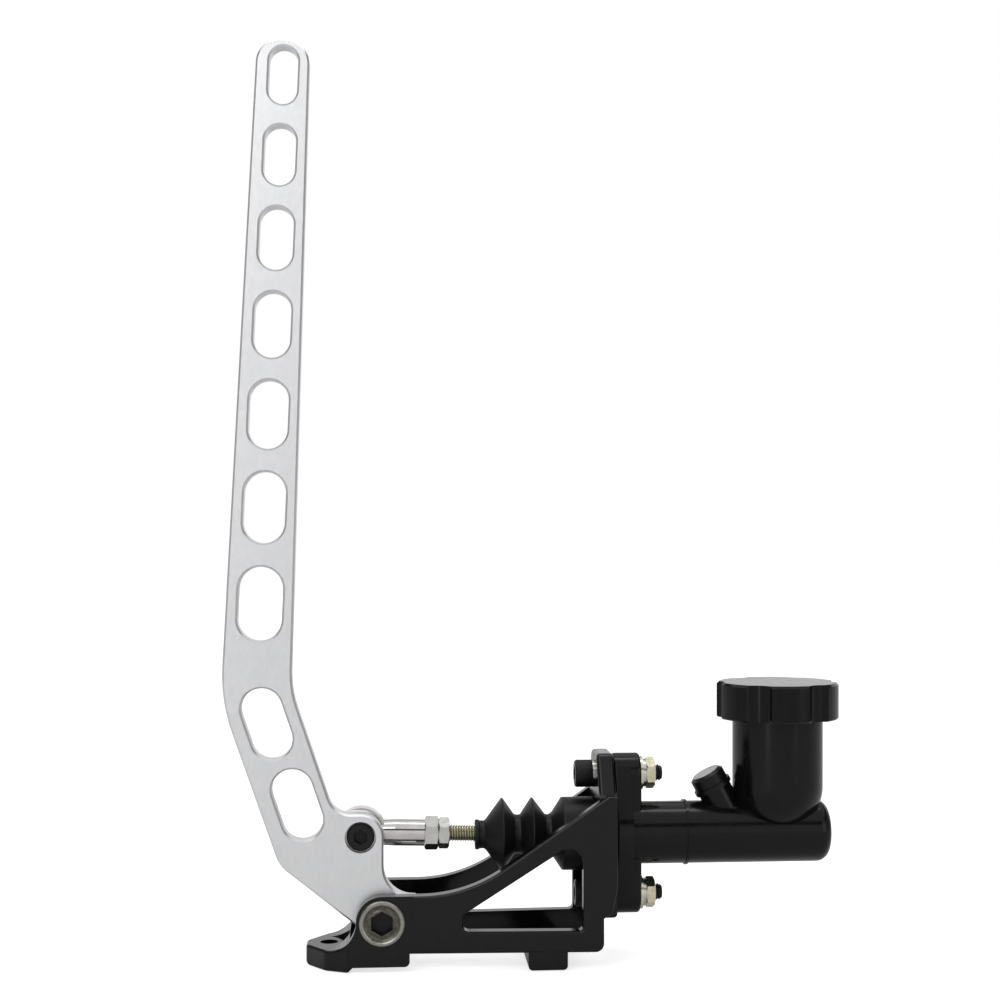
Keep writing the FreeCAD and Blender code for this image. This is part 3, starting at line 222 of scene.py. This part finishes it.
def apply_modifier(thing, kind, **settings):
    """Add a modifier with its settings, and apply it."""
    modifier = thing.modifiers.new(kind.lower(), kind)
    for key, value in settings.items():
        setattr(modifier, key, value)
    pick(thing)
    bpy.ops.object.modifier_apply(modifier=modifier.name)


def drawn_profile(points):
    """An open chain of edges through (radius, height) points in millimetres, in edit mode and selected."""
    bpy.ops.object.select_all(action="DESELECT")
    bpy.ops.mesh.primitive_plane_add(size=MM)
    thing = bpy.context.object
    bpy.ops.object.mode_set(mode="EDIT")
    bpy.ops.mesh.merge(type="CENTER")
    here = (0.0, 0.0)
    for i, point in enumerate(points):
        step = ((point[0] - here[0]) * MM, 0.0, (point[1] - here[1]) * MM)
        if i:
            bpy.ops.mesh.extrude_region_move(TRANSFORM_OT_translate={"value": step})
        else:
            bpy.ops.transform.translate(value=step)
        here = point
    bpy.ops.mesh.select_all(action="SELECT")
    return thing


def close_mesh():
    """Merge doubles, fill what is open and turn the faces outwards, in edit mode."""
    bpy.ops.mesh.select_all(action="SELECT")
    bpy.ops.mesh.remove_doubles(threshold=0.000001)
    bpy.ops.mesh.select_all(action="DESELECT")
    bpy.ops.mesh.select_non_manifold(extend=False, use_wire=False, use_multi_face=False, use_verts=False)
    bpy.ops.mesh.edge_face_add()
    bpy.ops.mesh.select_all(action="SELECT")
    bpy.ops.mesh.normals_make_consistent(inside=False)
    bpy.ops.object.mode_set(mode="OBJECT")


def turned(points, steps=72):
    """A piece turned on a lathe round Z."""
    thing = drawn_profile(points)
    bpy.ops.mesh.spin(steps=steps, angle=2 * math.pi, center=(0, 0, 0), axis=(0, 0, 1))
    bpy.ops.mesh.select_all(action="SELECT")
    bpy.ops.mesh.remove_doubles(threshold=0.000001)
    bpy.ops.mesh.normals_make_consistent(inside=False)
    bpy.ops.object.mode_set(mode="OBJECT")
    return thing


def wound(thing, pitch, turns, steps):
    """Wind a closed outline up into a helix round Z."""
    apply_modifier(thing, "SCREW", axis="Z", angle=2 * math.pi, screw_offset=pitch * MM, iterations=turns,
                   steps=steps, render_steps=steps, use_merge_vertices=True, merge_threshold=0.000001)
    bpy.ops.object.mode_set(mode="EDIT")
    close_mesh()
    return thing


def thread_ridge(root, crest, pitch, start, turns):
    """The ridge of a screw thread round Z: a tooth wound up as a helix, with a plain root between turns.

    The tooth's foot lies just inside the core.
    """
    foot = root - 0.1
    flank = pitch * 0.3
    wide = pitch * 0.74
    thing = drawn_profile([(foot, start), (crest, start + flank), (crest, start + wide - flank),
                           (foot, start + wide), (foot, start)])
    bpy.ops.mesh.remove_doubles(threshold=0.000001)
    bpy.ops.object.mode_set(mode="OBJECT")
    return wound(thing, pitch, turns, 36)


def joined(things):
    """Make one piece of several, which keep their finishes."""
    bpy.ops.object.select_all(action="DESELECT")
    for thing in things:
        thing.select_set(True)
    bpy.context.view_layer.objects.active = things[0]
    bpy.ops.object.join()
    return bpy.context.object


def put(thing, place, turn):
    """Turn a piece, in degrees, and move it, in millimetres, in its mesh itself."""
    thing.location = [value * MM for value in place]
    thing.rotation_euler = [math.radians(value) for value in turn]
    pick(thing)
    bpy.ops.object.transform_apply(location=True, rotation=True, scale=True)
    return thing


def settled(thing, name, material, body, place=(0, 0, 0), turn=(0, 0, 0), crease=35):
    """Put a piece in its place, and give it its name, its finish and its body."""
    thing.name = name
    thing.data.name = name
    put(thing, place, turn)
    bpy.ops.object.shade_smooth_by_angle(angle=math.radians(crease))
    if material:
        paint(thing, material)
    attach(thing, body)
    return thing


def knurled(thing, radius, low, high, ridges, depth):
    """Press the flutes of a knurl into the side of a turned head, between two heights."""
    pick(thing)
    bpy.ops.object.mode_set(mode="EDIT")
    bpy.ops.mesh.select_all(action="DESELECT")
    bpy.ops.object.mode_set(mode="OBJECT")
    for vertex in thing.data.vertices:
        place = vertex.co / MM
        across = math.hypot(place.x, place.y)
        angle = math.atan2(place.y, place.x) / (2 * math.pi) * ridges
        on_side = abs(across - radius) < 0.01 and low <= place.z <= high
        vertex.select = on_side and abs(angle - round(angle)) > 0.25
    inward = 1 - depth / radius
    bpy.ops.object.mode_set(mode="EDIT")
    bpy.ops.transform.resize(value=(inward, inward, 1), center_override=(0, 0, 0))
    bpy.ops.object.mode_set(mode="OBJECT")


def hex_socket(thing, flats, face, depth):
    """Cut a hexagonal socket down from a face at the given height."""
    corner = flats / 2 / math.cos(math.pi / 6)
    bpy.ops.object.select_all(action="DESELECT")
    bpy.ops.mesh.primitive_cylinder_add(vertices=6, radius=corner * MM, depth=2 * depth * MM,
                                        location=(0, 0, face * MM))
    cutter = bpy.context.object
    apply_modifier(thing, "BOOLEAN", operation="DIFFERENCE", solver="EXACT", object=cutter)
    bpy.data.objects.remove(cutter, do_unlink=True)


# Radii and pitch of an M8 thread, and a cap screw's head: its radius, and its socket across flats
M8_SHANK = 4.0
M8_ROOT = 3.4
M8_PITCH = 1.25
M8_HEAD = 6.5
M8_SOCKET = 6.0


def cap_screw(head_height, shank, thread_from, end):
    """An M8 cap screw: knurled head with a socket below zero, plain shank, thread and chamfered end."""
    blank = turned([
        (0, -head_height), (M8_HEAD - 0.7, -head_height), (M8_HEAD - 0.15, -head_height + 0.5),
        (M8_HEAD, -head_height + 0.9), (M8_HEAD, -0.5), (M8_HEAD - 0.3, 0), (M8_SHANK, 0), (M8_SHANK, shank),
        (M8_ROOT, shank + 0.7), (M8_ROOT, end - 0.6), (M8_ROOT - 0.5, end), (0, end)], steps=96)
    knurled(blank, M8_HEAD, -head_height + 0.8, -0.4, ridges=48, depth=0.22)
    hex_socket(blank, M8_SOCKET, face=-head_height, depth=3.2)
    plain_end = 1.7
    turns = int((end - plain_end - thread_from) / M8_PITCH)
    ridge = thread_ridge(M8_ROOT, M8_SHANK - 0.02, M8_PITCH, thread_from, turns)
    return joined([blank, ridge])


# Places of the solids, in millimetres
AXIS_HEIGHT = 58.8
FLANGE_BOLT_HALF = 28.575
FLANGE_HEAD_FACE = 125.0
PIN_X = 15.0
PIN_Z = 60.7
PIN_SEAT = -10.0
PIVOT_X = 25.0
PIVOT_Z = 22.5
PIVOT_FACE = -25.5
BOOT_FRONT = 69.0
PORT_X = 195.8
PORT_TOP = 32.4

# Leans of the outlet port and the push rod, and turns of a piece that was made round Z, in degrees
PORT_LEAN = 29.0
ROD_LEAN = 1.365
ALONG_X = (0, 90, 0)
AWAY = (-90, 0, 0)

# Flange bolts: the two cap screws, with the thread that shows past the nuts.
flange_screws = []
for sign in (-1, 1):
    screw = cap_screw(head_height=8.3, shank=24.0, thread_from=24.5, end=33.7)
    flange_screws.append(put(screw, (FLANGE_HEAD_FACE, 0, AXIS_HEIGHT + sign * FLANGE_BOLT_HALF), ALONG_X))
flange_pair = settled(joined(flange_screws), "flange_cap_screws", black_oxide, "base", crease=30)
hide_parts("flange_bolts")

# The cap screw that carries the rod end, deep in the lever's counterbore.
pin_screw = cap_screw(head_height=5.0, shank=21.0, thread_from=21.3, end=25.1)
settled(pin_screw, "rod_pin_cap_screw", black_oxide, "lever_arm", (PIN_X, PIN_SEAT, PIN_Z), AWAY, crease=30)
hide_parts("rod_pin_bolt")

# Pivot bolt: the head has a rim painted paler as a highlight, a dished ring inside it, and a flat land round
# its socket, which is painted dark as shade.
LAND_RADIUS = 5.8
LAND_DEPTH = 0.55
SOCKET_DEPTH = 5.0
RIM_INSIDE = 8.7
HEAD_HEIGHT = 2.5
bolt_skin = turned([
    (0, LAND_DEPTH), (LAND_RADIUS, LAND_DEPTH), (6.6, 0.95), (7.4, 0.95), (8.6, 0.3), (9.1, 0.0),
    (9.9, 0.0), (10.4, 0.45), (10.5, 0.9), (10.5, HEAD_HEIGHT), (8.0, HEAD_HEIGHT), (8.0, 9.0),
    (6.0, 9.0), (6.0, 48.6), (5.3, 49.3), (5.3, 59.3), (4.6, 60.1), (0, 60.1)], steps=120)
hex_socket(bolt_skin, flats=10.0, face=LAND_DEPTH, depth=SOCKET_DEPTH)
bolt_ridge = thread_ridge(root=5.3, crest=5.97, pitch=1.5, start=48.8, turns=6)
bolt_place = (PIVOT_X, PIVOT_FACE, PIVOT_Z)
pivot_bolt = settled(bolt_skin, "pivot_bolt_dressed", olive_zinc, "base", bolt_place, AWAY, crease=25)
settled(bolt_ridge, "pivot_bolt_thread", olive_zinc, "base", bolt_place, AWAY)
# The rim gets a paler finish as a painted highlight, and the socket's inner faces get black as painted
# shade.
pivot_bolt.data.materials.append(rim_highlight_zinc)
pivot_bolt.data.materials.append(black_oxide)
RIM_HIGHLIGHT = 1
SOCKET_SHADE = 2
# Rim faces take the painted highlight; faces inside the socket take the painted shade.
for face in pivot_bolt.data.polygons:
    middle = face.center / MM
    outward = math.hypot(middle.x - PIVOT_X, middle.z - PIVOT_Z)
    inward = middle.y - PIVOT_FACE
    if outward > RIM_INSIDE and inward < HEAD_HEIGHT:
        face.material_index = RIM_HIGHLIGHT
    if outward < LAND_RADIUS and LAND_DEPTH + 0.05 < inward < LAND_DEPTH + SOCKET_DEPTH + 0.45:
        face.material_index = SOCKET_SHADE
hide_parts("pivot_bolt")

# Push rod: threaded from the jam nut into the boot, plain inside, with a collar behind its nose.
rod_core = turned([
    (0, 19.0), (M8_ROOT, 19.0), (M8_ROOT, 66.0), (M8_SHANK, 67.0), (M8_SHANK, 103.0), (5.4, 103.2),
    (5.4, 104.6), (3.4, 106.6), (2.0, 107.03), (0, 107.03)])
rod_ridge = thread_ridge(M8_ROOT, M8_SHANK, M8_PITCH, start=38.0, turns=22)
# The core is painted darker as the shade in the thread's roots; the ridge keeps the yellow zinc.
paint(rod_core, thread_root_shade)
paint(rod_ridge, yellow_zinc)
push_rod = settled(joined([rod_core, rod_ridge]), "threaded_push_rod", None, "link", (PIN_X, 0, PIN_Z),
                   (0, 90 + ROD_LEAN, 0), crease=30)
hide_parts("push_rod")

# Boot: moulded bellows with rounded folds, a lip at the rod and a sleeve over the cylinder's snout, modelled
# at its rest length.
boot_skin = turned([
    (5.2, 0), (6.9, 0), (7.1, 0.5), (7.1, 1.6), (6.6, 2.2), (6.6, 4.4), (7.4, 5.2), (17.2, 12.6),
    (17.2, 13.2), (9.4, 18.7), (9.1, 20.3), (9.4, 21.6), (17.2, 26.9), (17.2, 27.5), (9.4, 33.4),
    (9.1, 34.8), (9.4, 36.2), (17.2, 41.4), (17.3, 42.2), (17.3, 56.2), (16.9, 56.6), (14.9, 56.6),
    (14.9, 43.4), (7.9, 36.6), (7.6, 34.8), (7.9, 33.0), (15.4, 27.2), (7.9, 22.0), (7.6, 20.3),
    (7.9, 18.3), (15.4, 12.9), (5.4, 5.6), (5.2, 4.4), (5.2, 0)], steps=96)
apply_modifier(boot_skin, "BEVEL", width=0.35 * MM, segments=2, limit_method="ANGLE",
               angle_limit=math.radians(25))
boot = settled(boot_skin, "bellows", black_rubber, "base", (BOOT_FRONT, 0, AXIS_HEIGHT), ALONG_X, crease=50)
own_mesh(boot)
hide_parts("boot")

# Return spring: a round wire coil, modelled at its rest length; in the cylinder the piston's stroke shortens
# it.
COIL_START = 152.2
COIL_END = 212.1
COIL_RADIUS = 7.4
COIL_TURNS = 7
WIRE_RADIUS = 0.8
bpy.ops.object.select_all(action="DESELECT")
bpy.ops.mesh.primitive_circle_add(vertices=12, radius=WIRE_RADIUS * MM, fill_type="NOTHING",
                                  location=(COIL_RADIUS * MM, 0, 0), rotation=(math.radians(90), 0, 0))
wire = bpy.context.object
bpy.ops.object.transform_apply(location=True, rotation=True, scale=True)
wound(wire, (COIL_END - COIL_START) / COIL_TURNS, COIL_TURNS, 32)
coil = settled(wire, "return_coil", turned_steel, "base", (COIL_START, 0, AXIS_HEIGHT), ALONG_X, crease=60)
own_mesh(coil)
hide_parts("return_spring")

# Transit plug: its pale face is moulded in fine rings, each a flat crest and a groove.
RINGS = 9
RING_STEP = 0.7
CREST = 0.35
GROOVE = 0.2
FACE_RADIUS = 6.8
face_rings = [(0, 0.0), (0, CREST)]
for i in range(RINGS):
    start = RING_STEP * i
    face_rings += [(start + 0.35, CREST), (start + 0.55, GROOVE), (start + RING_STEP, CREST)]
face_rings += [(FACE_RADIUS - 0.05, 0.3), (FACE_RADIUS, 0.0), (0, 0.0)]
lean = math.radians(PORT_LEAN)
settled(turned(face_rings), "plug_face", grey_plug, "base",
        (PORT_X - PORT_TOP * math.sin(lean), 0, AXIS_HEIGHT + PORT_TOP * math.cos(lean)),
        (0, -PORT_LEAN, 0), crease=20)

# Floor, tent, lamps and camera, in metres
FLOOR_DROP = 0.0005
bpy.ops.mesh.primitive_plane_add(size=8.0, location=(0.1, 1.0, -FLOOR_DROP))
floor = bpy.context.object
floor.name = "floor"


def seen_directly(tree, mirrored=0.0):
    """One where the camera sees a surface, straight or through glass, and zero where its light falls.

    A share of one, mirrored, where glossy pieces reflect the surface.
    """
    path = add(tree, "ShaderNodeLightPath")
    seen = add(tree, "ShaderNodeMath", {"operation": "MAXIMUM"},
               links={0: path.outputs["Is Camera Ray"], 1: path.outputs["Is Transmission Ray"]})
    share = add(tree, "ShaderNodeMath", {"operation": "MULTIPLY"}, {1: mirrored},
                {0: path.outputs["Is Glossy Ray"]})
    both = add(tree, "ShaderNodeMath", {"operation": "MAXIMUM"},
               links={0: seen.outputs[0], 1: share.outputs[0]})
    return both.outputs[0]


# Pale studio paper: it takes the object's shadow, and looks white where nothing shades it.
pale_paper, tree = new_tree("pale paper")
paper = add(tree, "ShaderNodeBsdfDiffuse", values={"Color": colour("#C6C6C6")})
glow = add(tree, "ShaderNodeEmission", values={"Color": colour("#FFFFFF"), "Strength": 0.68})
lit = add(tree, "ShaderNodeAddShader", links={0: paper.outputs["BSDF"], 1: glow.outputs["Emission"]})
mix = add(tree, "ShaderNodeMixShader",
          links={0: seen_directly(tree, 0.1), 1: paper.outputs["BSDF"], 2: lit.outputs[0]})
add(tree, "ShaderNodeOutputMaterial", links={"Surface": mix.outputs[0]})
paint(floor, pale_paper)

world = bpy.data.worlds.new("studio")
bpy.context.scene.world = world
world.use_nodes = True
sky = world.node_tree
sky.nodes.clear()
ambient = add(sky, "ShaderNodeBackground", values={"Color": colour("#FFFFFF"), "Strength": 0.85})

# Mirrors see a light tent: pale walls, a dark seam above them, and a bright roof.
TENT = ((0.0, "#F8F8F9"), (0.3, "#F4F4F5"), (0.42, "#FFFFFF"), (0.48, "#3C3C3E"), (0.6, "#3C3C3E"),
        (0.68, "#FFFFFF"))
heading = add(sky, "ShaderNodeTexCoord")
axes = add(sky, "ShaderNodeSeparateXYZ", links={"Vector": heading.outputs["Generated"]})
tent = add(sky, "ShaderNodeValToRGB", links={"Fac": axes.outputs["Z"]})
for position, shade in TENT:
    stop = tent.color_ramp.elements.new(position)
    stop.color = colour(shade)
for spare in (tent.color_ramp.elements[-1], tent.color_ramp.elements[0]):
    tent.color_ramp.elements.remove(spare)

# Grey flags stand at both sides of the tent, so that bright edges and round pieces get their dark lines.
aside = add(sky, "ShaderNodeMath", {"operation": "ABSOLUTE"}, links={0: axes.outputs["X"]})
flags = add(sky, "ShaderNodeMapRange",
            values={"From Min": 0.7, "From Max": 0.88, "To Min": 1.0, "To Max": 0.35},
            links={"Value": aside.outputs[0]})
mirrored = add(sky, "ShaderNodeBackground",
               links={"Color": tent.outputs["Color"], "Strength": flags.outputs["Result"]})
backdrop = add(sky, "ShaderNodeBackground", values={"Color": colour("#FFFFFF"), "Strength": 1.0})
path = add(sky, "ShaderNodeLightPath")
around = add(sky, "ShaderNodeMixShader",
             links={0: path.outputs["Is Glossy Ray"], 1: ambient.outputs[0], 2: mirrored.outputs[0]})
mix = add(sky, "ShaderNodeMixShader",
          links={0: seen_directly(sky), 1: around.outputs[0], 2: backdrop.outputs[0]})
add(sky, "ShaderNodeOutputWorld", links={"Surface": mix.outputs[0]})


def lamp(name, place, size, power):
    """An area lamp, in metres and watts, that points at the middle of the object."""
    middle = Vector((0.1, 0.0, 0.15))
    bpy.ops.object.light_add(type="AREA", location=place)
    light = bpy.context.object
    light.name = name
    light.data.shape = "RECTANGLE"
    light.data.size, light.data.size_y = size
    light.data.energy = power
    light.rotation_euler = (middle - Vector(place)).to_track_quat("-Z", "Y").to_euler()


lamp("key", place=(-0.5, -1.0, 1.1), size=(0.9, 0.9), power=5)
lamp("fill", place=(1.1, -0.9, 0.5), size=(0.7, 0.9), power=1.2)
lamp("top", place=(0.1, 0.1, 1.4), size=(1.2, 0.2), power=4)
lamp("left strip", place=(-0.45, -0.9, 0.35), size=(0.16, 1.1), power=1.6)
lamp("right strip", place=(0.75, -0.8, 0.35), size=(0.2, 1.1), power=0.3)

# The camera stands where the photograph's slight perspective puts it, and turns a little to the cylinder.
EYE = (0.0297, -0.8099, 0.201)
EYE_TURN = -4.5
bpy.ops.object.camera_add(location=EYE, rotation=(math.radians(90), 0, math.radians(EYE_TURN)))
camera = bpy.context.object
camera.data.sensor_width = 36
camera.data.lens = 61.225
camera.data.shift_x = -0.026
camera.data.shift_y = 0.036
camera.data.clip_start = 0.05
bpy.context.scene.camera = camera
bpy.context.scene.view_settings.view_transform = "Standard"
